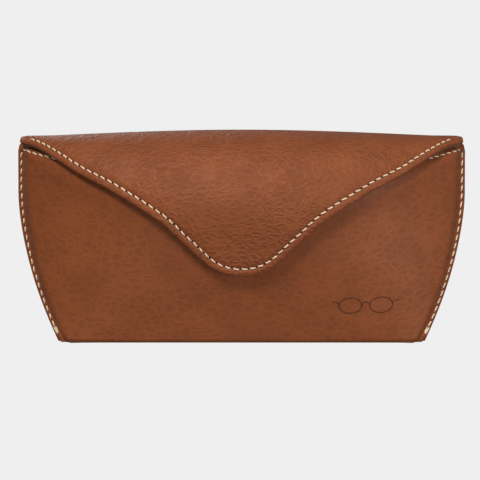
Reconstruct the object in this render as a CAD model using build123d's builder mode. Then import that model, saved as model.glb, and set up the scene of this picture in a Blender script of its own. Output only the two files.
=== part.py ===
"""Stitched leather eyeglasses case: a standing wedge with a bowed front and a domed flap.

Frame: +X to the right, +Y to the back, +Z up, in millimetres. The origin is the middle of the
footprint, on the surface that the case stands on.

The back is a flat panel that leans backwards. The front bows forward from the two side seams.
Every sheet of the front and of the flap is one layer of the same skin: k is how far a surface
lies inside the closed flap's outer face, so neighbouring layers can't cross.
"""

import os
from math import asin, atan, cos, degrees, exp, radians, sin, sqrt, tan

from build123d import *

# ---- Driving dimensions ------------------------------------------------------------------------

HALF_TOP = 82.3  # half the width across the opening
HALF_BASE = 68.3  # half the width at the base
FLARE_HEIGHT = 55.0  # the sides run straight up above this height
BASE_DEPTH = 16.0
DEPTH_PER_HEIGHT = 0.38  # how fast the middle of the body deepens upwards
SEAM_DEPTH = 4.6  # depth of the body at its side seams
LEAN = 12.0  # degrees that the back leans backwards

CORNER_HEIGHT = 68.5  # upper corners of the front
MIDDLE_HEIGHT = 66.0  # lowest point of the front's upper edge
CORNER_RADIUS = 4.0
HINGE_HEIGHT = 69.0  # where the back ends and the flap bends

CREST_HEIGHT = 76.4  # highest point of the closed flap
CREST_DROP = 4.0  # how much lower the crest is at the sides
SHOULDER_MIDDLE = 27.0  # radius of the flap's shoulder in the middle
SHOULDER_SIDE = 4.2  # and at the sides
LEAST_RADIUS = 0.8  # under this, the inner layers' shoulders shrink towards a point

LEATHER = 1.2
BODY_BOARD = 1.0
FLAP_BOARD = 0.6
BASE_BOARD = 0.8
LINING = 0.65
GLUE = 0.03
FLAP_GLUE = 0.13  # thicker where a layer has to bend round the shoulder
HINGE_GAP = 0.15  # each side of the hinge line
HINGE_PULL = 0.55  # how full the flap's bend is between its crest and the hinge line

BODY_K = 3.8  # the body's outer face, with air between it and the closed flap
FRONT_BOARD_K = BODY_K + LEATHER + GLUE
FRONT_LINING_K = FRONT_BOARD_K + BODY_BOARD + GLUE
BACK_BOARD_K = LEATHER + GLUE
BACK_LINING_K = BACK_BOARD_K + BODY_BOARD + GLUE
FLAP_BOARD_K = LEATHER + FLAP_GLUE
FLAP_LINING_K = FLAP_BOARD_K + FLAP_BOARD + FLAP_GLUE

PANEL_INSET = 4.0  # boards stop this far inside the seams
BOARD_TOP_INSET = 1.0  # and this far below the front's upper edge
LINING_INSET = 0.6
LEATHER_FOOT = LEATHER + GLUE  # the walls' leather stands on the base's
WALL_FOOT = 2.9  # and their boards and linings stand above the base's own
BASE_INSET = 1.6

MAGNET_RADIUS = 6.0
MAGNET_HOLE = 6.15
MAGNET_HEIGHT = 39.0

STITCH_PITCH = 3.0
STITCH_LENGTH = 2.1
STITCH_RADIUS = 0.28
STITCH_LIFT = 0.14
STITCH_INSET = 2.3
SIDE_SEAM = (4.5, 64.0)  # lowest and highest stitch of a side seam
OPENING_SEAM = 76.5  # half the length of the seam along the opening
FLAP_SEAM = 70.0  # half the width that the flap's seam spans

# The right half of the flap's free edge, as (x, z) seen from the front, from its tip outwards.
FLAP_EDGE = [(0, 27.8), (10, 30.3), (20, 39.2), (30, 48.2), (47, 58.2), (60, 63.6), (72, 69.0)]
FLAP_CORNER = (81.6, 70.7)

SEAM_POWER = 2.4  # plan of the bow near the opening
BASE_POWER = 8.0  # and at the base, where it is boxier
HIGHEST_START = 0.9  # sine of the angle where a layer that is all shoulder starts at most
BODY_END_ANGLE = 60  # degrees up the shoulder where a body layer runs on straight
BODY_END_RUN = 8.0
BELOW = 3.0  # layers are drawn this far past the base before they are trimmed
FLAP_COLUMNS = [0, 0.07, 0.15, 0.23, 0.32, 0.42, 0.53, 0.65, 0.77, 0.87, 0.94, 1]
FLAP_ROWS = 8  # spans of the flap's sections from its free edge to its crest
COLUMNS = [0, 14, 28, 42, 52, 60, 67, 74, 82.4]
WIDE = 100.0
TALL = 90.0

C, S, T = cos(radians(LEAN)), sin(radians(LEAN)), tan(radians(LEAN))


# ---- The skin ----------------------------------------------------------------------------------


def short_of(z):
    """How far z is below the flare's top, as a share of its height."""
    return max(0.0, 1 - z / FLARE_HEIGHT)


def half_width(z):
    return HALF_TOP - (HALF_TOP - HALF_BASE) * short_of(z) ** 2


def back_y(z):
    """The outer face of the back."""
    return BASE_DEPTH / 2 + z * T


def bow(x, z):
    """1 in the middle of the front, 0 at the side seams, and falling steadily past them."""
    power = SEAM_POWER + (BASE_POWER - SEAM_POWER) * short_of(z) ** 2
    share = abs(x) / half_width(z)
    return 1 - share**power if share < 1 else power * (1 - share)


def wall_y(x, z):
    """The skin at k = 0 where the wall is straight, below the shoulder."""
    depth = SEAM_DEPTH + (BASE_DEPTH + DEPTH_PER_HEIGHT * z - SEAM_DEPTH) * bow(x, z)
    return back_y(z) - depth - BODY_K


def slope(x, z):
    """How much the wall leans forward per millimetre of height."""
    return wall_y(x, z - 0.5) - wall_y(x, z + 0.5)


class Column:
    """The skin's section at one x: a wall, a round shoulder tangent to it, and a crest."""

    def __init__(self, x):
        share = min(1.0, abs(x) / HALF_TOP)
        self.x = x
        self.crest = CREST_HEIGHT - CREST_DROP * share**2
        self.radius = SHOULDER_SIDE + (SHOULDER_MIDDLE - SHOULDER_SIDE) * (1 - share**SEAM_POWER)
        self.z = self.crest - self.radius
        self.lean = slope(x, self.z)
        self.long = sqrt(1 + self.lean**2)
        self.y = wall_y(x, self.z) + self.radius * self.long
        self.z_tangent = self.z - self.radius * self.lean / self.long
        self.shift = self.y - self.radius / self.long - wall_y(x, self.z_tangent)

    def wall(self, z, k):
        lean = slope(self.x, z)
        long = sqrt(1 + lean**2)
        return (wall_y(self.x, z) + self.shift + k / long, z + k * lean / long)

    def shoulder(self, angle, k):
        """A point of the shoulder, where 0 degrees faces forward and 90 is the crest."""
        radius = self.radius - k
        if radius < LEAST_RADIUS:
            radius = LEAST_RADIUS * exp(radius / LEAST_RADIUS - 1)
        return (self.y - radius * cos(radians(angle)), self.z + radius * sin(radians(angle)))

    def tangent_angle(self):
        return -degrees(atan(self.lean))

    def face_y(self, z, k):
        """The skin's depth at height z, up to the crest."""
        radius = self.radius - k
        if z < self.z_tangent:
            return self.wall(z, k)[0]
        return self.y - sqrt(max(0.0, radius**2 - (z - self.z) ** 2))


def wall_and_shoulder(column, k):
    """Draws a body layer's wall and its shoulder in one column, and returns its foot."""
    steps = [i / 4 for i in range(5)]
    top = column.z_tangent
    first = column.tangent_angle()
    wall = [column.wall(-BELOW + step * (top + BELOW), k) for step in steps]
    wall[-1] = column.shoulder(first, k)
    Spline(*wall)
    middle = (first + BODY_END_ANGLE) / 2
    ThreePointArc(wall[-1], column.shoulder(middle, k), column.shoulder(BODY_END_ANGLE, k))
    return wall[0]


def body_end(column, k):
    """Draws the straight end of a body layer past its shoulder, and returns its last point."""
    y, z = column.shoulder(BODY_END_ANGLE, k)
    turned = radians(BODY_END_ANGLE)
    end = (y + BODY_END_RUN * sin(turned), z + BODY_END_RUN * cos(turned))
    Line((y, z), end)
    return end


def body_layer(outer, inner):
    """Adds one untrimmed layer of the front, lofted across the width."""
    sections = []
    for x in [-x for x in reversed(COLUMNS[1:])] + COLUMNS:
        column = Column(x)
        with BuildSketch(Plane.YZ.offset(x)) as section:
            with BuildLine():
                outer_foot = wall_and_shoulder(column, outer)
                outer_end = body_end(column, outer)
                inner_foot = wall_and_shoulder(column, inner)
                inner_end = body_end(column, inner)
                Line(outer_foot, inner_foot)
                Line(outer_end, inner_end)
            make_face()
        sections.append(section.sketch.face())
    loft(sections)


# ---- Outlines, as faces on the XZ plane ----------------------------------------------------------


def body_outline(inset, top_inset, foot):
    """The front's outline, moved in by `inset` at the sides and `top_inset` at the top."""
    with BuildSketch(Plane.XZ) as outline:
        with BuildLine():
            side, low = HALF_TOP - inset, HALF_BASE - inset
            corner, middle = CORNER_HEIGHT - top_inset, MIDDLE_HEIGHT - top_inset
            Line((-low, 0), (low, 0))
            for sign in (-1, 1):
                Bezier((sign * low, 0), (sign * side, FLARE_HEIGHT / 2), (sign * side, FLARE_HEIGHT))
                Line((sign * side, FLARE_HEIGHT), (sign * side, corner))
            Bezier((-side, corner), (0, 2 * middle - corner), (side, corner))
        make_face()
        fillet(outline.vertices().group_by(Axis.Y)[-1], CORNER_RADIUS)
        with Locations((0, foot)):
            Rectangle(2 * WIDE, TALL, align=(Align.CENTER, Align.MIN), mode=Mode.INTERSECT)
    return outline.sketch


def back_outline(inset, foot):
    """The back's outline, with square upper corners above the hinge line."""
    with BuildSketch(Plane.XZ) as outline:
        with BuildLine():
            side, low = HALF_TOP - inset, HALF_BASE - inset
            Line((-low, 0), (low, 0))
            for sign in (-1, 1):
                Bezier((sign * low, 0), (sign * side, FLARE_HEIGHT / 2), (sign * side, FLARE_HEIGHT))
                Line((sign * side, FLARE_HEIGHT), (sign * side, TALL))
            Line((-side, TALL), (side, TALL))
        make_face()
        with Locations((0, foot)):
            Rectangle(2 * WIDE, TALL, align=(Align.CENTER, Align.MIN), mode=Mode.INTERSECT)
    return outline.sketch


def flap_curve():
    """The right half of the flap's free edge."""
    with BuildLine() as curve:
        Spline(*FLAP_EDGE, FLAP_CORNER, tangents=[(1, 0), (1, 0)])
    return curve.edge()


EDGE = flap_curve()


def beside_edge(share, inset):
    """A point `inset` inside the flap's free edge, at a share of its right half, as (x, z)."""
    point, direction = EDGE @ share, EDGE % share
    return (point.X - inset * direction.Y, point.Y + inset * direction.X)


def edge_height(x, inset):
    """Height of the flap's free edge, moved in by `inset`, at a distance x from the middle."""
    low, high = 0.0, 1.0
    for _ in range(40):
        share = (low + high) / 2
        if beside_edge(share, inset)[0] < abs(x):
            low = share
        else:
            high = share
    return beside_edge(high, inset)[1]


def draw_flap_face(x, k, inset, to_hinge):
    """Draws a flap surface's section, from its free edge to its crest or on to the hinge."""
    column = Column(x)
    first = column.tangent_angle()
    foot = edge_height(x, inset)
    top = column.z_tangent
    if foot < top:
        wall_share = (top - foot) / (top - foot + radians(90 - first) * column.radius)
        start = first
    else:
        wall_share = 0.0
        start = degrees(asin(min(HIGHEST_START, (foot - column.z) / column.radius)))
    rows = []
    for i in range(FLAP_ROWS + 1):
        share = i / FLAP_ROWS
        if share < wall_share:
            rows.append(column.wall(foot + (top - foot) * share / wall_share, k))
        else:
            turn = (share - wall_share) / (1 - wall_share)
            rows.append(column.shoulder(start + (90 - start) * turn, k))
    Spline(*rows)
    if not to_hinge:
        return rows[0], rows[-1]
    y, z = rows[-1]
    end_y = back_y(HINGE_HEIGHT) - k * C + HINGE_GAP * S
    end_z = HINGE_HEIGHT + k * S + HINGE_GAP * C
    pull = (y + HINGE_PULL * (end_y - y), z)
    rise = HINGE_PULL * (z - end_z)
    Bezier((y, z), pull, (end_y + rise * S, end_z + rise * C), (end_y, end_z))
    return rows[0], (end_y, end_z)


def flap_layer(outer, inner, inset, to_hinge=True):
    """Adds one layer of the flap, lofted across the width, with its free edge cut square."""
    side = FLAP_CORNER[0] - inset
    right = [side * share for share in FLAP_COLUMNS]
    sections = []
    for x in [-x for x in reversed(right[1:])] + right:
        with BuildSketch(Plane.YZ.offset(x)) as section:
            with BuildLine():
                outer_foot, outer_end = draw_flap_face(x, outer, inset, to_hinge)
                inner_foot, inner_end = draw_flap_face(x, inner, inset, to_hinge)
                Line(outer_foot, inner_foot)
                Line(outer_end, inner_end)
            make_face()
        sections.append(section.sketch.face())
    loft(sections)


def trim(outline):
    """Keeps what lies inside an outline as seen from the front."""
    extrude(outline, amount=WIDE, both=True, mode=Mode.INTERSECT)


def magnet_circle(radius):
    """A round plug through the case at the magnets' height."""
    with BuildSketch(Plane.XZ) as circle:
        with Locations((0, MAGNET_HEIGHT)):
            Circle(radius)
    return extrude(circle.sketch, amount=WIDE, mode=Mode.PRIVATE)


def back_slab(outer, inner, foot, inset):
    """Adds a layer of the back between two depths inside its outer face."""
    with BuildSketch(Plane.YZ) as section:
        with BuildLine():
            tops = []
            for k in (outer, inner):
                low = (back_y(-BELOW) - k / C, -BELOW)
                top_y = back_y(HINGE_HEIGHT) - k * C - HINGE_GAP * S
                tops.append((low, (top_y, HINGE_HEIGHT + k * S - HINGE_GAP * C)))
            Polyline(tops[0][0], tops[0][1], tops[1][1], tops[1][0], close=True)
        make_face()
    extrude(section.sketch, amount=WIDE, both=True)
    trim(back_outline(inset, foot))


def in_front_of_back():
    """Cuts away whatever would reach into the back."""
    limit = BACK_LINING_K + LINING + GLUE
    with BuildSketch(Plane.YZ) as behind:
        with BuildLine():
            low = back_y(-2 * BELOW) - limit / C
            high = back_y(TALL) - limit / C
            Polyline((low, -2 * BELOW), (high, TALL), (WIDE, TALL), (WIDE, -2 * BELOW), close=True)
        make_face()
    extrude(behind.sketch, amount=WIDE, both=True, mode=Mode.SUBTRACT)


def footprint(inset):
    """The base's outline on the XY plane, moved in by `inset`."""
    half = HALF_BASE - inset
    shares = [i / 8 for i in range(-8, 9)]
    with BuildSketch() as outline:
        with BuildLine():
            front = [(u * half, wall_y(u * HALF_BASE, 0) + BODY_K + inset) for u in shares]
            back = back_y(0) - inset
            Spline(*front)
            Polyline(front[-1], (half, back), (-half, back), front[0])
        make_face()
    return outline.sketch


def save(part, name):
    part.label = name
    export_step(part, f"parts/{name}.step")


os.makedirs("parts", exist_ok=True)

# ---- Front: leather, board with a magnet, lining -------------------------------------------------

with BuildPart() as front_leather:
    body_layer(BODY_K, BODY_K + LEATHER)
    trim(body_outline(0, 0, LEATHER_FOOT))
    in_front_of_back()
save(front_leather.part, "front_leather")

with BuildPart() as front_board:
    body_layer(FRONT_BOARD_K, FRONT_BOARD_K + BODY_BOARD)
    trim(body_outline(PANEL_INSET, BOARD_TOP_INSET, WALL_FOOT))
    in_front_of_back()
    add(magnet_circle(MAGNET_HOLE), mode=Mode.SUBTRACT)
save(front_board.part, "front_board")

with BuildPart() as front_magnet:
    body_layer(FRONT_BOARD_K, FRONT_BOARD_K + BODY_BOARD)
    add(magnet_circle(MAGNET_RADIUS), mode=Mode.INTERSECT)
save(front_magnet.part, "front_magnet")

with BuildPart() as front_lining:
    body_layer(FRONT_LINING_K, FRONT_LINING_K + LINING)
    trim(body_outline(PANEL_INSET, LINING_INSET, WALL_FOOT))
    in_front_of_back()
save(front_lining.part, "front_lining")

# ---- Back --------------------------------------------------------------------------------------

with BuildPart() as back_leather:
    back_slab(0, LEATHER, LEATHER_FOOT, 0)
save(back_leather.part, "back_leather")

with BuildPart() as back_board:
    back_slab(BACK_BOARD_K, BACK_BOARD_K + BODY_BOARD, WALL_FOOT, PANEL_INSET)
save(back_board.part, "back_board")

with BuildPart() as back_lining:
    back_slab(BACK_LINING_K, BACK_LINING_K + LINING, WALL_FOOT, LINING_INSET)
save(back_lining.part, "back_lining")

# ---- Base --------------------------------------------------------------------------------------

with BuildPart() as base_leather:
    extrude(footprint(0), amount=LEATHER)
save(base_leather.part, "base_leather")

with BuildPart() as base_board:
    board_outline = footprint(BASE_INSET + LINING).moved(Location((0, 0, LEATHER + GLUE)))
    extrude(board_outline, amount=BASE_BOARD)
save(base_board.part, "base_board")

with BuildPart() as base_lining:
    lining_height = LEATHER + BASE_BOARD + 2 * GLUE
    extrude(footprint(BASE_INSET).moved(Location((0, 0, lining_height))), amount=LINING)
save(base_lining.part, "base_lining")

# ---- Flap --------------------------------------------------------------------------------------

with BuildPart() as flap_leather:
    flap_layer(0, LEATHER, 0)
save(flap_leather.part, "flap_leather")

with BuildPart() as flap_board:
    flap_layer(FLAP_BOARD_K, FLAP_BOARD_K + FLAP_BOARD, PANEL_INSET, to_hinge=False)
    add(magnet_circle(MAGNET_HOLE), mode=Mode.SUBTRACT)
save(flap_board.part, "flap_board")

with BuildPart() as flap_magnet:
    flap_layer(FLAP_BOARD_K, FLAP_BOARD_K + FLAP_BOARD, PANEL_INSET, to_hinge=False)
    add(magnet_circle(MAGNET_RADIUS), mode=Mode.INTERSECT)
save(flap_magnet.part, "flap_magnet")

with BuildPart() as flap_lining:
    flap_layer(FLAP_LINING_K, FLAP_LINING_K + LINING, LINING_INSET)
save(flap_lining.part, "flap_lining")

# ---- Stitching ---------------------------------------------------------------------------------


def on_skin(x, z, k):
    """A thread's centre where the skin at k is seen at (x, z), one radius proud of it."""
    y = Column(x).face_y(z, k)
    across = Column(x + 0.2).face_y(z, k) - y
    up = Column(x).face_y(z + 0.2, k) - y
    steep = sqrt(1 + (across / 0.2) ** 2 + (up / 0.2) ** 2)
    return Vector(x, y - (STITCH_RADIUS + STITCH_LIFT) * steep, z)


def stitches(path, length, k):
    """Adds a row of stitches along path(s), a point (x, z) at each s from 0 to `length`."""
    for i in range(int(length / STITCH_PITCH)):
        start = i * STITCH_PITCH
        a = on_skin(*path(start), k)
        b = on_skin(*path(start + STITCH_LENGTH), k)
        with BuildSketch(Plane(origin=a, z_dir=b - a)) as thread:
            Circle(STITCH_RADIUS)
        extrude(thread.sketch, amount=(b - a).length)


def opening_path(s):
    x = s - OPENING_SEAM
    return (x, MIDDLE_HEIGHT + (CORNER_HEIGHT - MIDDLE_HEIGHT) * (x / HALF_TOP) ** 2 - STITCH_INSET)


with BuildPart() as opening_stitching:
    stitches(opening_path, 2 * OPENING_SEAM, BODY_K)
save(opening_stitching.part, "opening_stitching")

for side, sign in (("left", -1), ("right", 1)):
    with BuildPart() as seam:
        low, high = SIDE_SEAM

        def side_path(s):
            z = low + s
            return (sign * (half_width(z) - STITCH_INSET), z)

        stitches(side_path, high - low, BODY_K)
    save(seam.part, f"{side}_seam_stitching")

SEAM_SHARE = max(i / 100 for i in range(100) if (EDGE @ (i / 100)).X < FLAP_SEAM)
SEAM_LENGTH = SEAM_SHARE * EDGE.length


def flap_path(s):
    """A point of the flap's seam, `s` along it from its left end."""
    share = (s - SEAM_LENGTH) / EDGE.length
    x, z = beside_edge(abs(share), STITCH_INSET)
    return (x if share > 0 else -x, z)


with BuildPart() as flap_stitching:
    stitches(flap_path, 2 * SEAM_LENGTH, 0)
save(flap_stitching.part, "flap_stitching")
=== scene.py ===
"""Looks of the stitched leather eyeglasses case: skins, linings, thread and studio.

The skin's formulas follow the CAD part's, in millimetres; everything is scaled to metres when a
mesh is made. k is how far a surface lies inside an outer face.
"""

import bisect
import math
import random

import bpy
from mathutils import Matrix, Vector


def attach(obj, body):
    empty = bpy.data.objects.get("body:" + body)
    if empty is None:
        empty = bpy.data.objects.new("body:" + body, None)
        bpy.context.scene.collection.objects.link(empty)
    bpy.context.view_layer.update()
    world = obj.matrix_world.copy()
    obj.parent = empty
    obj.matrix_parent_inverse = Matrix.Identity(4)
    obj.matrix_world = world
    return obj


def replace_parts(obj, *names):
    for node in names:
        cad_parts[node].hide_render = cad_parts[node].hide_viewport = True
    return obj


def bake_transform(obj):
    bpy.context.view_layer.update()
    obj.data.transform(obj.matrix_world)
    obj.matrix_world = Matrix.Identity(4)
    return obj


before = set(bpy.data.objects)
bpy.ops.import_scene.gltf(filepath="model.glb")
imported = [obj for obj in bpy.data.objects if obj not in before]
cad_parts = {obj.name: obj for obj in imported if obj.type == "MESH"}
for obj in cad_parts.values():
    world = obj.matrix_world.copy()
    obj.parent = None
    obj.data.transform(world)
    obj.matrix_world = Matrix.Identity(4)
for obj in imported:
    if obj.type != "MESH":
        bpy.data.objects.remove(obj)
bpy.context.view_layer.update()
MM = 0.001

# ---- Dimensions, after the part ------------------------------------------------------------------

HALF_TOP, HALF_BASE, FLARE_HEIGHT = 82.3, 67.0, 55.0
BASE_DEPTH, DEPTH_PER_HEIGHT, SEAM_DEPTH = 16.0, 0.38, 4.6
LEAN = math.radians(12.0)
CORNER_HEIGHT, MIDDLE_HEIGHT, CORNER_RADIUS = 69.3, 66.0, 3.8
HINGE_HEIGHT = 69.0
CREST_HEIGHT, CREST_DROP = 75.9, 4.6
SHOULDER_MIDDLE, SHOULDER_SIDE = 27.0, 4.2
LEATHER, LINING = 1.2, 0.65
BODY_K = 3.8
FRONT_LINING_K, FLAP_LINING_K, BACK_LINING_K = 6.07, 2.07, 2.27
SEAM_POWER = 2.4
BASE_POWER = 8.0
BOXED_FOOT = 9.6  # how far the side seam moves forward at the foot, more than the part's
SEAM_FLAT, SEAM_FREE = 1.4, 3.8  # the sewn margin lies flat, and the front is free past it
FLAP_EDGE = [
    (0, 28.3), (10, 31.0), (20, 40.1), (30, 49.3), (46, 58.5),
    (59, 63.7), (68, 67.8), (75, 70.2), (81.6, 70.6),
]
FLAP_SIDE = 81.2

STITCH_PITCH, STITCH_LENGTH, THREAD_RADIUS = 3.0, 2.3, 0.28
ROW_SLANT, HOLE_RADIUS = 0.34, 0.5
FLAP_MARGIN, SIDE_MARGIN, OPENING_MARGIN = 2.95, 1.2, 1.9
STRIP_FOOT = 59.0  # the flap's leather reaches this far down the outside of the back
FURROW = 0.26  # how deep the body's seams press into the leather
FOOT_ROLL, FOOT_ROLL_HEIGHT = 0.8, 2.6  # how far the walls turn in above the floor
BASE_INSET, BASE_END_INSET = 1.9, 0.6  # the base leather lies inside the walls' feet
LINING_SIDE_INSET, LINING_TOP_INSET, FLAP_LINING_INSET = 1.5, 0.35, 0.25
LINING_FOOT, BACK_LINING_TOP = 2.9, 60.5
LINING_GLUE = 0.03

C, S, T = math.cos(LEAN), math.sin(LEAN), math.tan(LEAN)


# ---- The skin ------------------------------------------------------------------------------------


def short_of(z):
    return max(0.0, 1 - z / FLARE_HEIGHT)


def half_width(z):
    return HALF_TOP - (HALF_TOP - HALF_BASE) * short_of(z) ** 2


def back_y(z):
    return BASE_DEPTH / 2 + z * T


def bow(x, z):
    power = SEAM_POWER + (BASE_POWER - SEAM_POWER) * short_of(z) ** 2
    share = abs(x) / half_width(z)
    return 1 - share**power if share < 1 else power * (1 - share)


def seam_forward(z):
    return BOXED_FOOT * short_of(z) ** 2


def wall_y(x, z, sewn):
    """The skin's wall; where it is `sewn`, its margin is flat and its seam boxes the foot."""
    seam, swell = SEAM_DEPTH, bow(x, z)
    if sewn:
        seam += seam_forward(z)
        swell *= smooth(SEAM_FLAT, SEAM_FREE, half_width(z) - abs(x))
    return back_y(z) - seam - (BASE_DEPTH + DEPTH_PER_HEIGHT * z - seam) * swell - BODY_K


class Column:
    """The skin's section at one x: a wall, a round shoulder tangent to it, and a crest."""

    def __init__(self, x, sewn):
        share = min(1.0, abs(x) / HALF_TOP)
        self.x = x
        self.sewn = sewn
        self.crest = CREST_HEIGHT - CREST_DROP * share**2
        self.radius = SHOULDER_SIDE + (SHOULDER_MIDDLE - SHOULDER_SIDE) * (1 - share**SEAM_POWER)
        self.z = self.crest - self.radius
        self.lean = self.slope(self.z)
        self.long = math.sqrt(1 + self.lean**2)
        self.y = self.wall(self.z) + self.radius * self.long
        self.z_tangent = self.z - self.radius * self.lean / self.long
        self.shift = self.y - self.radius / self.long - self.wall(self.z_tangent)

    def wall(self, z):
        return wall_y(self.x, z, self.sewn)

    def slope(self, z):
        return self.wall(z - 0.5) - self.wall(z + 0.5)

    def face(self, z, k):
        """The point (y, z) of the skin near height z, below the crest, moved in by k."""
        if z < self.z_tangent:
            lean = self.slope(z)
            long = math.sqrt(1 + lean**2)
            return (self.wall(z) + self.shift + k / long, z + k * lean / long)
        radius = max(self.radius - k, 0.3)
        rise = min(1.0, (z - self.z) / max(self.radius - k, 0.3))
        return (self.y - radius * math.sqrt(max(0.0, 1 - rise**2)), self.z + radius * rise)


def front_point(x, z, k, sewn=True):
    """A point of the body's front seen at (x, z), k inside the body's own outer face."""
    left, middle, right = (Column(x + step, sewn) for step in (-0.3, 0.0, 0.3))
    y, _ = middle.face(z, BODY_K)
    across = (right.face(z, BODY_K)[0] - left.face(z, BODY_K)[0]) / 0.6
    up = (middle.face(z + 0.3, BODY_K)[0] - middle.face(z - 0.3, BODY_K)[0]) / 0.6
    up = max(-3.0, min(3.0, up))
    normal = Vector((-across, 1.0, -up)).normalized()
    return Vector((x, y, z)) + normal * k


def spline_through(points):
    """A smooth curve through points, mirrored at the first, as a function of x that gives z."""
    xs = [-x for x, _ in reversed(points[1:])] + [x for x, _ in points]
    zs = [z for _, z in reversed(points[1:])] + [z for _, z in points]
    slopes = []
    for i in range(len(xs)):
        low, high = max(0, i - 1), min(len(xs) - 1, i + 1)
        slopes.append((zs[high] - zs[low]) / (xs[high] - xs[low]))

    def value(x):
        i = min(max(bisect.bisect(xs, x) - 1, 0), len(xs) - 2)
        span = xs[i + 1] - xs[i]
        t = (x - xs[i]) / span
        a, b = zs[i], zs[i + 1]
        m, n = slopes[i] * span, slopes[i + 1] * span
        return a + t * m + t**2 * (3 * (b - a) - 2 * m - n) + t**3 * (2 * (a - b) + m + n)

    return value


edge_z = spline_through(FLAP_EDGE)


def edge_slope(x):
    return (edge_z(x + 0.2) - edge_z(x - 0.2)) / 0.4


class Section:
    """The flap's outer section at one x, from its free edge over the crest and down the back."""

    def __init__(self, x):
        column = Column(x, False)
        foot = edge_z(x)
        points = []
        if foot < column.z_tangent:
            for i in range(16):
                points.append(column.face(foot + (column.z_tangent - foot) * i / 16, 0))
            start = -math.atan(column.lean)
        else:
            start = math.asin(min(0.97, (foot - column.z) / column.radius))
        for i in range(25):
            angle = start + (math.pi / 2 - start) * i / 24
            away = column.radius
            points.append((column.y - away * math.cos(angle), column.z + away * math.sin(angle)))
        y, z = points[-1]
        end_y, end_z = back_y(HINGE_HEIGHT), HINGE_HEIGHT
        rise = 0.55 * (z - end_z)
        pull = (y + 0.55 * (end_y - y), z)
        arrive = (end_y + rise * S, end_z + rise * C)
        for i in range(1, 17):
            t = i / 16
            weights = ((1 - t) ** 3, 3 * t * (1 - t) ** 2, 3 * t * t * (1 - t), t**3)
            corners = ((y, z), pull, arrive, (end_y, end_z))
            points.append(tuple(sum(w * c[a] for w, c in zip(weights, corners)) for a in (0, 1)))
        for i in range(1, 7):
            low = HINGE_HEIGHT + (STRIP_FOOT - HINGE_HEIGHT) * i / 6
            points.append((back_y(low), low))
        self.x, self.points = x, points
        self.at = [0.0]
        for a, b in zip(points, points[1:]):
            self.at.append(self.at[-1] + math.dist(a, b))
        self.length = self.at[-1]
        self.margin = math.sqrt(1 + edge_slope(x) ** 2)

    def tangent(self, i):
        a, b = self.points[max(0, i - 1)], self.points[min(len(self.points) - 1, i + 1)]
        long = math.dist(a, b)
        return ((b[0] - a[0]) / long, (b[1] - a[1]) / long)

    def point(self, path, k):
        """The point `path` along the section, moved k inwards."""
        i = min(max(bisect.bisect(self.at, path) - 1, 0), len(self.at) - 2)
        t = (path - self.at[i]) / (self.at[i + 1] - self.at[i])
        (ay, az), (by, bz) = self.points[i], self.points[i + 1]
        (cy, cz), (dy, dz) = self.tangent(i), self.tangent(i + 1)
        y, z = ay + t * (by - ay), az + t * (bz - az)
        ty, tz = cy + t * (dy - cy), cz + t * (dz - cz)
        long = math.hypot(ty, tz)
        return Vector((self.x, y + k * tz / long, z - k * ty / long))


# ---- Sheets with rounded lips --------------------------------------------------------------------

LIP = [
    0.0, 0.04, 0.14, 0.3, 0.5, 0.75, 1.05, 1.4, 1.75,
    2.05, 2.35, 2.65, 3.0, 3.5, 4.2, 5.2, 6.6, 8.4,
]
SHEET_CORNER = 1.5


def smooth(low, high, value):
    t = min(1.0, max(0.0, (value - low) / (high - low)))
    return t * t * (3 - 2 * t)


def lip(distance, thickness):
    """Half the thickness of a sheet at a distance from its rounded edge."""
    half = thickness / 2
    near = 1 - min(1.0, distance / half)
    return half * math.sqrt(max(0.0, 1 - near * near))


def corner_distance(a, b):
    """The distance to two edges at once, blended round their corner."""
    if a < SHEET_CORNER and b < SHEET_CORNER:
        return max(0.0, SHEET_CORNER - math.hypot(SHEET_CORNER - a, SHEET_CORNER - b))
    return min(a, b)


def mesh_piece(name, verts, faces, uvs, material, body, slot):
    """Makes a smooth-shaded piece from millimetre vertices, and lets it ride on a body."""
    mesh = bpy.data.meshes.new(name)
    mesh.from_pydata([tuple(v * MM) for v in verts], [], faces)
    layer = mesh.uv_layers.new(name="uv")
    for loop in mesh.loops:
        layer.data[loop.index].uv = uvs[loop.vertex_index]
    mesh.polygons.foreach_set("use_smooth", [True] * len(mesh.polygons))
    mesh.validate()
    mesh.update()
    piece = bpy.data.objects.new(name, mesh)
    bpy.context.scene.collection.objects.link(piece)
    mesh.materials.append(material)
    if body:
        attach(piece, body)
    return piece


def sheet_piece(name, rows, place, material, body, slot):
    """A closed sheet: place(column, row, side) gives the point and UV of its outer or inner face.

    rows is (columns, rows); the outer and the inner face share their boundary vertices.
    """
    wide, high = rows
    verts, uvs, outer, inner = [], [], {}, {}
    for j in range(high):
        for i in range(wide):
            point, uv = place(i, j, 0)
            outer[i, j] = len(verts)
            verts.append(point)
            uvs.append(uv)
    for j in range(high):
        for i in range(wide):
            if i in (0, wide - 1) or j in (0, high - 1):
                inner[i, j] = outer[i, j]
                continue
            point, uv = place(i, j, 1)
            inner[i, j] = len(verts)
            verts.append(point)
            uvs.append(uv)
    faces = []
    for j in range(high - 1):
        for i in range(wide - 1):
            ring = [(i, j), (i + 1, j), (i + 1, j + 1), (i, j + 1)]
            faces.append([outer[c] for c in ring])
            faces.append([inner[c] for c in reversed(ring)])
    return mesh_piece(name, verts, faces, uvs, material, body, slot)


# ---- Materials -----------------------------------------------------------------------------------


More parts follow.
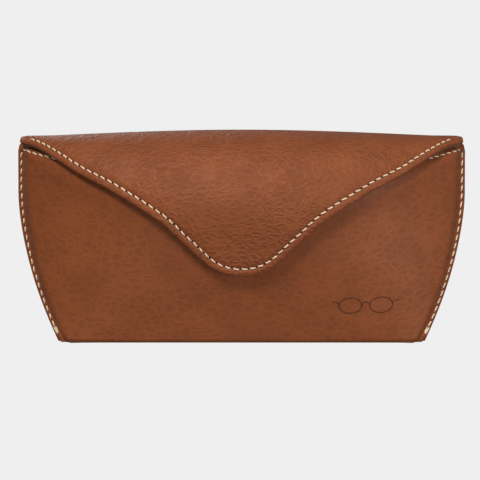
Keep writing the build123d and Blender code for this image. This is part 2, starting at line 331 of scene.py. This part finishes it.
class Nodes:
    """A short way to build a material's node tree."""

    def __init__(self, name):
        self.material = bpy.data.materials.new(name)
        self.material.use_nodes = True
        self.tree = self.material.node_tree
        self.shader = self.tree.nodes["Principled BSDF"]

    def add(self, kind, **values):
        node = self.tree.nodes.new(kind)
        for key, value in values.items():
            if hasattr(node, key):
                setattr(node, key, value)
            else:
                node.inputs[key.replace("_", " ").title()].default_value = value
        return node

    def link(self, source, target):
        self.tree.links.new(source, target)

    def math(self, operation, a, b=None, clamp=False):
        node = self.tree.nodes.new("ShaderNodeMath")
        node.operation = operation
        node.use_clamp = clamp
        for i, value in enumerate((a, b)):
            if value is None:
                continue
            if isinstance(value, (int, float)):
                node.inputs[i].default_value = value
            else:
                self.link(value, node.inputs[i])
        return node.outputs[0]

    def ramp(self, source, stops):
        node = self.tree.nodes.new("ShaderNodeValToRGB")
        ramp = node.color_ramp
        while len(ramp.elements) < len(stops):
            ramp.elements.new(0.5)
        for element, (position, color) in zip(ramp.elements, stops):
            element.position = position
            element.color = (*color, 1)
        self.link(source, node.inputs[0])
        return node.outputs[0]

    def noise(self, vector, scale, detail=3.0, rough=0.55):
        node = self.add("ShaderNodeTexNoise", scale=scale, detail=detail, roughness=rough)
        self.link(vector, node.inputs["Vector"])
        return node

    def stretch(self, vector, scale):
        node = self.tree.nodes.new("ShaderNodeVectorMath")
        node.operation = "MULTIPLY"
        self.link(vector, node.inputs[0])
        node.inputs[1].default_value = scale
        return node.outputs[0]

    def bump(self, height, distance, strength, below=None):
        node = self.tree.nodes.new("ShaderNodeBump")
        node.inputs["Distance"].default_value = distance
        node.inputs["Strength"].default_value = strength
        self.link(height, node.inputs["Height"])
        if below is not None:
            self.link(below, node.inputs["Normal"])
        return node.outputs[0]


def leather(name, color, grain, cell=4.0):
    """Pebbled full-grain leather; UVs are in centimetres, so `cell` is pebbles per centimetre."""
    n = Nodes(name)
    uv = n.add("ShaderNodeUVMap", uv_map="uv").outputs[0]
    warp = n.noise(uv, 3.2, 2.0)
    shift = n.stretch(warp.outputs["Color"], (0.055, 0.055, 0.0))
    moved = n.tree.nodes.new("ShaderNodeVectorMath")
    moved.operation = "ADD"
    n.link(uv, moved.inputs[0])
    n.link(shift, moved.inputs[1])
    squeezed = n.stretch(moved.outputs[0], (0.78, 1.12, 1.0))
    pebbles = n.add("ShaderNodeTexVoronoi", feature="DISTANCE_TO_EDGE", scale=cell)
    n.link(squeezed, pebbles.inputs["Vector"])
    small = n.add("ShaderNodeTexVoronoi", feature="DISTANCE_TO_EDGE", scale=cell * 1.8)
    n.link(squeezed, small.inputs["Vector"])
    patches = n.noise(uv, 0.45, 2.0)
    where = n.ramp(patches.outputs["Fac"], [(0.36, (0.6,) * 3), (0.62, (1.0,) * 3)])
    big_inside = n.math("MULTIPLY", pebbles.outputs["Distance"], 4.6, clamp=True)
    small_inside = n.math("MULTIPLY", small.outputs["Distance"], 4.0, clamp=True)
    big_vein = n.math("SUBTRACT", 1.0, big_inside)
    small_vein = n.math("SUBTRACT", 1.0, small_inside)
    crease = n.math("ADD", n.math("MULTIPLY", big_vein, 0.8), n.math("MULTIPLY", small_vein, 0.2))
    fine = n.noise(uv, 26.0, 4.0, 0.6)
    pores = n.noise(uv, 9.0, 3.0)
    height = n.math("MULTIPLY", crease, where)
    first = n.bump(height, 0.00030, grain)
    second = n.bump(pores.outputs["Fac"], 0.00022, grain * 0.4, first)
    third = n.bump(fine.outputs["Fac"], 0.00008, grain * 0.6, second)
    n.link(third, n.shader.inputs["Normal"])
    # the tone is random mottling plus the raised veins painted lighter: a painted highlight where
    # light from above catches the grain's ridges
    tone = n.math("ADD", n.math("MULTIPLY", n.noise(uv, 0.7, 4.0).outputs["Fac"], 0.62),
                  n.math("MULTIPLY", height, 0.24))
    dark = tuple(c * 0.80 for c in color)
    light = tuple(c * 1.12 for c in color)
    n.link(n.ramp(tone, [(0.28, dark), (0.5, color), (0.78, light)]), n.shader.inputs["Base Color"])
    rough = n.ramp(n.math("ADD", pores.outputs["Fac"], n.math("MULTIPLY", crease, -0.25)),
                   [(0.1, (0.43,) * 3), (0.7, (0.60,) * 3)])
    n.link(rough, n.shader.inputs["Roughness"])
    n.shader.inputs["Specular IOR Level"].default_value = 0.2
    n.shader.inputs["Sheen Weight"].default_value = 0.03
    n.shader.inputs["Sheen Roughness"].default_value = 0.5
    return n.material


def suede(name, color):
    """Short-napped lining suede."""
    n = Nodes(name)
    uv = n.add("ShaderNodeUVMap", uv_map="uv").outputs[0]
    nap = n.noise(n.stretch(uv, (1.0, 0.45, 1.0)), 42.0, 5.0, 0.7)
    brushed = n.noise(uv, 1.4, 3.0)
    tone = n.math("ADD", n.math("MULTIPLY", nap.outputs["Fac"], 0.6),
                  n.math("MULTIPLY", brushed.outputs["Fac"], 0.4))
    dark = tuple(c * 0.72 for c in color)
    light = tuple(c * 1.3 for c in color)
    stops = [(0.34, dark), (0.52, color), (0.72, light)]
    n.link(n.ramp(tone, stops), n.shader.inputs["Base Color"])
    n.link(n.bump(nap.outputs["Fac"], 0.0002, 0.6), n.shader.inputs["Normal"])
    n.shader.inputs["Roughness"].default_value = 0.93
    n.shader.inputs["Sheen Weight"].default_value = 0.5
    n.shader.inputs["Sheen Roughness"].default_value = 0.4
    return n.material


def thread(name, color):
    """Waxed twisted thread; U runs round it and V along it, in millimetres."""
    n = Nodes(name)
    uv = n.add("ShaderNodeUVMap", uv_map="uv").outputs[0]
    wave = n.add("ShaderNodeTexWave", wave_type="BANDS", bands_direction="DIAGONAL", scale=0.7)
    wave.inputs["Distortion"].default_value = 0.6
    n.link(uv, wave.inputs["Vector"])
    fibre = n.noise(uv, 9.0, 3.0)
    tone = n.math("ADD", n.math("MULTIPLY", wave.outputs["Fac"], 0.6),
                  n.math("MULTIPLY", fibre.outputs["Fac"], 0.4))
    dark = tuple(c * 0.62 for c in color)
    light = tuple(min(1, c * 1.12) for c in color)
    stops = [(0.1, dark), (0.6, color), (0.9, light)]
    n.link(n.ramp(tone, stops), n.shader.inputs["Base Color"])
    n.link(n.bump(tone, 0.0001, 0.7), n.shader.inputs["Normal"])
    n.shader.inputs["Roughness"].default_value = 0.62
    return n.material


def pitted(name, color, rough, metallic=0.0, scale=900.0):
    """A plain hard material with fine speckle, for boards, magnets, and the near-black painted
    shade of needle holes.
    """
    n = Nodes(name)
    place = n.add("ShaderNodeTexCoord").outputs["Object"]
    speckle = n.noise(place, scale, 4.0, 0.65)
    stops = [(0.3, tuple(c * 0.75 for c in color)), (0.7, tuple(min(1, c * 1.15) for c in color))]
    n.link(n.ramp(speckle.outputs["Fac"], stops), n.shader.inputs["Base Color"])
    n.link(n.bump(speckle.outputs["Fac"], 0.0001, 0.3), n.shader.inputs["Normal"])
    n.shader.inputs["Roughness"].default_value = rough
    n.shader.inputs["Metallic"].default_value = metallic
    return n.material


TAN = (0.268, 0.0725, 0.0225)
body_leather = leather("tan_leather_body", TAN, 0.2, 3.6)
flap_hide = leather("tan_leather_flap", TAN, 0.95, 4.2)
SUEDE_BROWN = (0.135, 0.068, 0.036)
lining_suede = suede("brown_suede", SUEDE_BROWN)
cream_thread = thread("cream_thread", (0.97, 0.74, 0.50))
# the needle holes are near-black lenses: painted shade standing in for the depth of each hole
hole_painted_shade = pitted("needle_hole_painted_shade", (0.012, 0.006, 0.004), 0.9)
mark_leather = leather("pressed_leather", tuple(c * 0.5 for c in TAN), 0.4, 6.0)

# ---- The body's front ----------------------------------------------------------------------------


def opening_z(x):
    """The front's upper edge, before its corners are rounded."""
    return MIDDLE_HEIGHT + (CORNER_HEIGHT - MIDDLE_HEIGHT) * (x / HALF_TOP) ** 2


def top_z(x):
    """The front's upper edge, with rounded corners."""
    height = opening_z(x)
    past = max(0.0, abs(x) - (HALF_TOP - CORNER_RADIUS))
    return height - CORNER_RADIUS + math.sqrt(max(0.0, CORNER_RADIUS**2 - past**2))


def both_ends(length, count):
    """Stations from 0 to `length`: close together at both ends, and even between."""
    last = LIP[-1]
    inner = [last + (length - 2 * last) * i / count for i in range(1, count)]
    return LIP + inner + [length - d for d in reversed(LIP)]


def groove(distance, margin, depth, width=0.55):
    """The furrow that a tight seam presses into the leather."""
    return depth * math.exp(-(((distance - margin) / width) ** 2))


ACROSS, UP = 150, 62  # cells of the front's grid
BACK_ACROSS, BACK_UP = 60, 24
PANEL_LOW = 0.02


def foot_roll(up):
    """How far a wall turns in just above the floor."""
    return FOOT_ROLL * (1 - smooth(0.0, FOOT_ROLL_HEIGHT, up)) ** 2


def front_station(i, j, edge, top_edge=0.0):
    """(x, z, distance to the side, distance to the top or foot) of a front sheet's grid point."""
    height = CORNER_HEIGHT - PANEL_LOW - top_edge
    z_guess = PANEL_LOW + both_ends(height, UP)[j]
    half = half_width(z_guess) - edge
    from_left = both_ends(2 * half, ACROSS)[i]
    x = from_left - half
    low, high = PANEL_LOW, top_z(min(abs(x) + edge, HALF_TOP)) - top_edge
    up = both_ends(high - low, UP)[j]
    return x, low + up, half - abs(x), high - low - up, up


def seam_press(side):
    """How far the sewn margin is pressed towards the back panel."""
    return 0.9 * (1 - smooth(2.0, 4.5, side)) + 1.2 * (1 - smooth(0.4, 1.5, side))


def make_front_leather():
    columns, rows = len(both_ends(100, ACROSS)), len(both_ends(60, UP))

    def place(i, j, side):
        x, z, from_side, from_top, from_foot = front_station(i, j, 0.0)
        near = corner_distance(from_side, min(from_top, from_foot))
        half = lip(near, LEATHER)
        k = LEATHER / 2 + (half if side else -half)
        furrow = groove(from_side, SIDE_MARGIN, FURROW) + groove(from_top, OPENING_MARGIN, FURROW)
        puff = 0.18 * smooth(0, 1.2, near) * (1 - smooth(4, 14, near))
        k += furrow - (0 if side else puff) + foot_roll(from_foot)
        point = front_point(x, z, k)
        point.y += seam_press(from_side)
        return point, (x / 10, z / 10)

    grid = (columns, rows)
    return sheet_piece("front_leather_skin", grid, place, body_leather, "case_body", "leather")


def make_front_lining():
    columns, rows = len(both_ends(100, ACROSS)), len(both_ends(60, UP))
    edge = LINING_SIDE_INSET

    def place(i, j, side):
        x, z, from_side, from_top, from_foot = front_station(i, j, edge, LINING_TOP_INSET)
        half = lip(corner_distance(from_side, from_top), LINING)
        near = min(from_side, from_top, from_foot + 2)
        k = LEATHER + LINING_GLUE + (FRONT_LINING_K - BODY_K - LEATHER) * smooth(2.2, 6.5, near)
        k += LINING / 2 + (half if side else -half)
        sewn = front_point(x, max(z, LINING_FOOT), k)
        free = front_point(x, max(z, LINING_FOOT), k, False)
        point = sewn.lerp(free, smooth(1.9, 2.8, from_side + edge))
        point.y += seam_press(from_side + edge)
        return point, (x / 10, z / 10)

    grid = (columns, rows)
    return sheet_piece("front_lining_skin", grid, place, lining_suede, "case_body", "lining")


# ---- Back and base -------------------------------------------------------------------------------


def back_point(x, z, k):
    """A point of the back, k inside its outer face."""
    return Vector((x, back_y(z) - k * C, z + k * S))


def side_box(x, z):
    """How far the back leather's side is turned forward to meet the seam."""
    return seam_forward(z) * (1 - smooth(1.3, 1.9, half_width(z) - abs(x)))


def make_back_leather():
    columns, rows = len(both_ends(100, BACK_ACROSS)), len(both_ends(60, BACK_UP))

    def place(i, j, side):
        up = both_ends(STRIP_FOOT - PANEL_LOW, BACK_UP)[j]
        z = PANEL_LOW + up
        half = half_width(z)
        x = both_ends(2 * half, BACK_ACROSS)[i] - half
        from_side = half - abs(x)
        thick = lip(min(from_side, up), LEATHER)
        k = LEATHER / 2 + (thick if side else -thick)
        k += 0 if side else groove(from_side, SIDE_MARGIN, FURROW)
        k += foot_roll(up)
        point = back_point(x, z, k)
        point.y -= side_box(x, z)
        return point, (x / 10, -z / 10 + 30)

    grid = (columns, rows)
    return sheet_piece("back_leather_skin", grid, place, body_leather, "case_body", "leather")


def make_back_lining():
    columns, rows = len(both_ends(100, BACK_ACROSS)), len(both_ends(60, BACK_UP))
    edge = LINING_SIDE_INSET

    def place(i, j, side):
        up = both_ends(BACK_LINING_TOP - LINING_FOOT, BACK_UP)[j]
        z = LINING_FOOT + up
        half = half_width(z) - edge
        x = both_ends(2 * half, BACK_ACROSS)[i] - half
        from_side = half - abs(x)
        thick = lip(min(from_side, up), LINING)
        k = LEATHER + LINING_GLUE + (BACK_LINING_K - LEATHER) * smooth(2.2, 6.5, from_side)
        k += LINING / 2 + (thick if side else -thick)
        point = back_point(x, z, k)
        point.y -= side_box(x, z)
        return point, (x / 10, -z / 10 + 30)

    grid = (columns, rows)
    return sheet_piece("back_lining_skin", grid, place, lining_suede, "case_body", "lining")


def make_base_leather():
    columns, rows = len(both_ends(100, 50)), 25

    def place(i, j, side):
        half = HALF_BASE - BASE_END_INSET
        x = both_ends(2 * half, 50)[i] - half
        front = wall_y(x * HALF_BASE / half, 0, True) + BODY_K + BASE_INSET
        back = back_y(0) - BASE_INSET - side_box(x * HALF_BASE / half, 0)
        across = j / (rows - 1)
        y = front + (back - front) * across
        near = corner_distance(half - abs(x), (back - front) * min(across, 1 - across))
        thick = lip(near, LEATHER)
        z = LEATHER / 2 + (thick if side else -thick)
        return Vector((x, y, z)), (x / 10, y / 10 + 70)

    grid = (columns, rows)
    piece = sheet_piece("base_leather_skin", grid, place, body_leather, "case_body", "leather")
    piece.data.flip_normals()
    return piece


# ---- Flap ----------------------------------------------------------------------------------------

FLAP_ACROSS, FLAP_UP = 170, 76


def flap_sections(edge):
    half = FLAP_SIDE - edge
    return [Section(x - half) for x in both_ends(2 * half, FLAP_ACROSS)]


def flap_stations(section, edge):
    """Paths along a section: from the free edge, where the lip is fine, to the strip's foot."""
    scale = min(section.margin, 1.6)
    free = [min((d + edge) * scale, 0.45 * section.length) for d in LIP]
    if free[-1] >= 0.45 * section.length:
        free = [0.45 * section.length * d / LIP[-1] for d in LIP]
    rest = section.length - free[-1]
    return free + [free[-1] + rest * i / FLAP_UP for i in range(1, FLAP_UP + 1)]


def flap_distance(section, path, edge):
    free = path / section.margin - edge
    return free, FLAP_SIDE - edge - abs(section.x), section.length - path


def make_flap_leather():
    sections = flap_sections(0.0)
    stations = [flap_stations(section, 0.0) for section in sections]

    def place(i, j, side):
        section, path = sections[i], stations[i][j]
        free, from_side, to_foot = flap_distance(section, path, 0.0)
        near = corner_distance(free, from_side)
        half = lip(near, LEATHER)
        k = LEATHER / 2 + (half if side else -half)
        if not side:
            roll = 0.0
            if free < FLAP_MARGIN:
                roll = 0.34 * math.sin(math.pi * free / FLAP_MARGIN) ** 0.8
            furrow = groove(free, FLAP_MARGIN, 0.32)
            puff = 0.32 * smooth(FLAP_MARGIN, 4.6, free) * (1 - smooth(5, 16, free))
            k += (furrow - roll - puff) * smooth(0.0, 3.0, from_side) * smooth(0, 6, to_foot)
        return section.point(path, k), (section.x / 10, (path - section.length) / 10 + 50)

    rows = (len(sections), len(stations[0]))
    return sheet_piece("flap_leather_skin", rows, place, flap_hide, None, "leather")


def make_flap_lining():
    edge = FLAP_LINING_INSET
    sections = flap_sections(edge)
    stations = [flap_stations(section, edge) for section in sections]

    def place(i, j, side):
        section, path = sections[i], stations[i][j]
        free, from_side, to_foot = flap_distance(section, path, edge)
        near = corner_distance(free, from_side)
        half = lip(min(near, to_foot), LINING)
        deep = FLAP_LINING_K - LEATHER - LINING_GLUE + 0.2 * (1 - smooth(6, 14, to_foot))
        k = LEATHER + LINING_GLUE + deep * smooth(2.0, 6.0, near)
        k += LINING / 2 + (half if side else -half)
        return section.point(path, k), (section.x / 10, (path - section.length) / 10 + 50)

    rows = (len(sections), len(stations[0]))
    return sheet_piece("flap_lining_skin", rows, place, lining_suede, None, "lining")


# ---- Thread --------------------------------------------------------------------------------------


class ThreadMesh:
    """Collects stitches, and needle holes painted as near-black shade, into two meshes."""

    def __init__(self, seed):
        self.verts, self.faces, self.uvs = [], [], []
        self.hole_verts, self.hole_faces, self.hole_uvs = [], [], []
        self.random = random.Random(seed)

    def stitch(self, at, start, length, slant):
        """One stitch of a row: at(s, across, k) gives a point on the surface."""
        rings, sides = 9, 10
        jitter = self.random.uniform(-0.06, 0.06)
        path = []
        for i in range(rings):
            t = i / (rings - 1)
            height = 0.30 - 0.62 * math.sin(math.pi * t) ** 0.45
            path.append(at(start + length * t, slant * (0.5 - t) + jitter, height))
        first = len(self.verts)
        for i, centre in enumerate(path):
            ahead = path[min(i + 1, rings - 1)] - path[max(i - 1, 0)]
            ahead.normalize()
            t = i / (rings - 1)
            out = at(start + length * t, 0, -1) - at(start + length * t, 0, 0)
            side = ahead.cross(out).normalized()
            up = side.cross(ahead).normalized()
            fat = THREAD_RADIUS * (0.55 + 0.45 * math.sin(math.pi * min(max(t, 0.04), 0.96)) ** 0.5)
            for j in range(sides):
                angle = 2 * math.pi * j / sides
                ply = 1 + 0.1 * math.cos(2 * (angle + 5.0 * t))
                spot = centre + (side * math.cos(angle) + up * math.sin(angle)) * fat * ply
                self.verts.append(spot)
                self.uvs.append((angle * 0.3, length * t))
        for i in range(rings - 1):
            for j in range(sides):
                a, b = first + i * sides + j, first + i * sides + (j + 1) % sides
                self.faces.append([a, b, b + sides, a + sides])
        self.faces.append([first + j for j in reversed(range(sides))])
        last = first + (rings - 1) * sides
        self.faces.append([last + j for j in range(sides)])

    def hole(self, at, middle):
        """A needle hole: a shallow lens on the leather, near-black as painted shade for the hole's
        depth.
        """
        first, sides = len(self.hole_verts), 12
        for k, share in ((0.12, 1.0), (-0.07, 0.75)):
            for j in range(sides):
                angle = 2 * math.pi * j / sides
                across = HOLE_RADIUS * share * math.sin(angle)
                along = 1.15 * HOLE_RADIUS * share * math.cos(angle)
                self.hole_verts.append(at(middle + along, across, k))
                self.hole_uvs.append((along, across))
        for j in range(sides):
            a, b = first + j, first + (j + 1) % sides
            self.hole_faces.append([a, b, b + sides, a + sides])
        self.hole_faces.append([first + sides + j for j in range(sides)])
        self.hole_faces.append([first + j for j in reversed(range(sides))])

    def row(self, at, length):
        """A whole row of stitches with a needle hole in each gap."""
        count = round(length / STITCH_PITCH)
        pitch = length / count
        for i in range(count):
            start = i * pitch + (pitch - STITCH_LENGTH) / 2
            self.stitch(at, start, STITCH_LENGTH + self.random.uniform(-0.12, 0.1), ROW_SLANT)
            self.hole(at, (i + 1) * pitch)

    def make(self, name, body):
        """Makes the stitches and the needle holes' painted shade, and returns the stitches."""
        piece = mesh_piece(name, self.verts, self.faces, self.uvs, cream_thread, body, "thread")
        # the holes mesh is painted shade: dark lenses where the needle holes' depth would be shaded
        holes = (self.hole_verts, self.hole_faces, self.hole_uvs, hole_painted_shade, body, "leather")
        mesh_piece(name + "_holes", *holes)
        return piece


FLAP_SEAM_END = 77.5
SEAM_LOW = 2.4  # where the side rows end, above the floor


def flap_line():
    """Places x along the flap's seam, and the distance of each along it from the left end."""
    xs = [-FLAP_SEAM_END + 2 * FLAP_SEAM_END * i / 600 for i in range(601)]
    sections, at = [Section(x) for x in xs], [0.0]
    for a, b in zip(sections, sections[1:]):
        p, q = a.point(FLAP_MARGIN * a.margin, 0), b.point(FLAP_MARGIN * b.margin, 0)
        at.append(at[-1] + (q - p).length)
    return xs, at


def make_flap_thread():
    xs, at_line = flap_line()

    def at(s, across, k):
        i = min(max(bisect.bisect(at_line, s) - 1, 0), len(xs) - 2)
        t = (s - at_line[i]) / (at_line[i + 1] - at_line[i])
        x = xs[i] + t * (xs[i + 1] - xs[i])
        slope = edge_slope(x)
        long = math.sqrt(1 + slope * slope)
        section = Section(x - across * slope / long)
        return section.point((FLAP_MARGIN + across) * section.margin, k + 0.2)

    threads = ThreadMesh(7)
    threads.row(at, at_line[-1] - 1)
    return threads.make("flap_thread", "flap")


def make_opening_thread():
    """One row along the front's upper edge, round both corners and down both side seams."""
    half = HALF_TOP - SIDE_MARGIN
    corner = CORNER_RADIUS - 1.2
    top = []
    for i in range(401):
        x = -(half - corner) + 2 * (half - corner) * i / 400
        top.append((x, opening_z(x) - OPENING_MARGIN))
    right = []
    centre = (half - corner, top[-1][1] - corner)
    for i in range(1, 10):
        angle = math.pi / 2 * (1 - i / 9)
        right.append((centre[0] + corner * math.cos(angle), centre[1] + corner * math.sin(angle)))
    for i in range(1, 121):
        z = right[8][1] + (SEAM_LOW - right[8][1]) * i / 120
        right.append((half_width(z) - SIDE_MARGIN, z))
    line = [(-x, z) for x, z in reversed(right)] + top + right
    at_line = [0.0]
    for a, b in zip(line, line[1:]):
        step = front_point(*b, 0) - front_point(*a, 0)
        at_line.append(at_line[-1] + step.length)

    def at(s, across, k):
        i = min(max(bisect.bisect(at_line, s) - 1, 0), len(line) - 2)
        t = (s - at_line[i]) / (at_line[i + 1] - at_line[i])
        (ax, az), (bx, bz) = line[i], line[i + 1]
        long = math.hypot(bx - ax, bz - az)
        x = ax + t * (bx - ax) - across * (bz - az) / long
        z = az + t * (bz - az) + across * (bx - ax) / long
        point = front_point(x, z, k + 0.16)
        point.y += seam_press(half_width(z) - abs(x))
        return point

    whole = at_line[-1]
    side = at_line[128]
    spans = {
        "left_seam_thread": (0, side, 11),
        "opening_thread": (side, whole - side, 12),
        "right_seam_thread": (whole - side, whole, 13),
    }
    for name, (start, end, seed) in spans.items():
        threads = ThreadMesh(seed)
        threads.row(lambda s, across, k, start=start: at(s + start, across, k), end - start)
        if name != "opening_thread":
            tack = 0.6 if start == 0 else end - start - 3.2
            for shift in (-0.34, 0.34):

                def tack_at(s, across, k, start=start, shift=shift):
                    return at(s + start, across + shift, k - 0.12)

                threads.stitch(tack_at, tack, 2.8, 0.1)
            sign = -1 if start == 0 else 1

            def behind(s, across, k, sign=sign):
                z = SEAM_LOW + s
                x = sign * (half_width(z) - SIDE_MARGIN - across)
                point = back_point(x, z, k + 0.2)
                point.y -= seam_forward(z)
                return point

            threads.row(behind, STRIP_FOOT - 3)
        threads.make(name, "case_body")


# ---- The pressed mark ----------------------------------------------------------------------------


MARK_X, MARK_Z, MARK_K = 45, 15.5, -0.04
MARK_SIDES = 6


def make_mark():
    """A small generic pair of spectacles, pressed into the front's lower right."""
    curves = []
    for sign in (-1, 1):
        lens = []
        for i in range(41):
            angle = 2 * math.pi * i / 40
            lens.append((sign * 5.6 + 4.2 * math.cos(angle), 3.0 * math.sin(angle)))
        curves.append(lens)
        arm = [i / 6 for i in range(7)]
        curves.append([(sign * (9.7 + 2.4 * t), 0.9 + 0.7 * math.sin(t * 1.6)) for t in arm])
    bridge = [math.pi * i / 10 for i in range(11)]
    curves.append([(1.5 * math.cos(a), 0.2 + 1.1 * math.sin(a)) for a in bridge])
    verts, faces, uvs = [], [], []
    for line in curves:
        first = len(verts)
        points = [front_point(MARK_X + x, MARK_Z + z, MARK_K) for x, z in line]
        for i, point in enumerate(points):
            ahead = (points[min(i + 1, len(points) - 1)] - points[max(i - 1, 0)]).normalized()
            out = Vector((0, -1, 0))
            side = ahead.cross(out).normalized()
            for j in range(MARK_SIDES):
                angle = 2 * math.pi * j / MARK_SIDES
                verts.append(point + side * 0.26 * math.cos(angle) + out * 0.10 * math.sin(angle))
                uvs.append((point.x / 10, point.z / 10))
        for i in range(len(points) - 1):
            for j in range(MARK_SIDES):
                a, b = first + i * MARK_SIDES + j, first + i * MARK_SIDES + (j + 1) % MARK_SIDES
                faces.append([a, b, b + MARK_SIDES, a + MARK_SIDES])
        faces.append([first + j for j in reversed(range(MARK_SIDES))])
        last = first + (len(points) - 1) * MARK_SIDES
        faces.append([last + j for j in range(MARK_SIDES)])
    return mesh_piece("pressed_mark", verts, faces, uvs, mark_leather, "case_body", "leather")


# ---- Everything in place -------------------------------------------------------------------------

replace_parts(make_front_leather(), "front_leather")
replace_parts(make_front_lining(), "front_lining")
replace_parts(make_back_leather(), "back_leather")
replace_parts(make_back_lining(), "back_lining")
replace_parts(make_base_leather(), "base_leather")

for flap_piece, node in (
    (make_flap_leather(), "flap_leather"),
    (make_flap_lining(), "flap_lining"),
):
    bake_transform(flap_piece)
    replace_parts(flap_piece, node)

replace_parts(make_flap_thread(), "flap_stitching")
make_opening_thread()
for piece_name, node in (
    ("left_seam_thread", "left_seam_stitching"),
    ("right_seam_thread", "right_seam_stitching"),
    ("opening_thread", "opening_stitching"),
):
    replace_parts(bpy.data.objects[piece_name], node)
make_mark()

CARRIED = {
    "base_lining": pitted("base_suede", SUEDE_BROWN, 0.92, scale=2500.0),
    "front_board": pitted("brown_board", (0.11, 0.052, 0.027), 0.9),
    "front_magnet": pitted("magnet_steel", (0.55, 0.55, 0.57), 0.35, 1.0),
}
for node, twin in (("back_board", "front_board"), ("base_board", "front_board"),
                   ("flap_board", "front_board"), ("flap_magnet", "front_magnet")):
    CARRIED[node] = CARRIED[twin]
for node, material in CARRIED.items():
    for material_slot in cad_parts[node].material_slots:
        material_slot.material = material

# ---- Studio --------------------------------------------------------------------------------------

PALE = 0.863


def emitter(name, color):
    material = bpy.data.materials.new(name)
    material.use_nodes = True
    tree = material.node_tree
    tree.nodes.clear()
    glow = tree.nodes.new("ShaderNodeEmission")
    glow.inputs["Color"].default_value = (*color, 1)
    out = tree.nodes.new("ShaderNodeOutputMaterial")
    tree.links.new(glow.outputs[0], out.inputs[0])
    return material


bpy.ops.mesh.primitive_plane_add(size=60.0, location=(0, 0, -0.0002))
floor = bpy.context.object
floor.name = "studio_floor"
floor.data.materials.append(emitter("pale_floor", (PALE,) * 3))
floor.visible_diffuse = False
floor.visible_glossy = False
floor.visible_shadow = False

world = bpy.data.worlds.new("studio")
bpy.context.scene.world = world
world.use_nodes = True
world.node_tree.nodes["Background"].inputs["Color"].default_value = (PALE, PALE, PALE, 1)
world.node_tree.nodes["Background"].inputs["Strength"].default_value = 0.16


def area_light(name, place, aim, size, power):
    light = bpy.data.lights.new(name, "AREA")
    light.shape = "RECTANGLE"
    light.size, light.size_y = size
    light.energy = power
    lamp = bpy.data.objects.new(name, light)
    lamp.location = place
    lamp.rotation_euler = (Vector(aim) - Vector(place)).to_track_quat("-Z", "Y").to_euler()
    bpy.context.scene.collection.objects.link(lamp)


area_light("key", (-0.3, -0.68, 1.0), (0, 0, 0.045), (0.34, 0.26), 9.3)
area_light("top", (0.1, -0.3, 1.15), (0, 0, 0.05), (0.5, 0.3), 2.0)
area_light("back", (-0.4, 1.0, 0.3), (0, 0, 0.03), (0.6, 0.4), 2.4)
area_light("fill", (0.75, -0.75, 0.16), (0, 0, 0.03), (0.5, 0.4), 3.7)
area_light("low", (0.0, -0.95, -0.1), (0, 0, 0.03), (0.8, 0.2), 1.7)

CAMERA_HEIGHT = math.radians(16)
CAMERA_AWAY = 1.0
FRAME_WIDTH = 0.1748
AIM = Vector((-0.0006, 0.0, 0.0373))
camera_data = bpy.data.cameras.new("camera")
camera_data.sensor_width = 36
camera_data.lens = 36 * CAMERA_AWAY / FRAME_WIDTH
camera_data.clip_start = 0.01
camera = bpy.data.objects.new("camera", camera_data)
away = Vector((0, -math.cos(CAMERA_HEIGHT), math.sin(CAMERA_HEIGHT)))
camera.location = AIM + away * CAMERA_AWAY
camera.rotation_euler = (-away).to_track_quat("-Z", "Y").to_euler()
bpy.context.scene.collection.objects.link(camera)
bpy.context.scene.camera = camera
bpy.context.scene.view_settings.view_transform = "Standard"
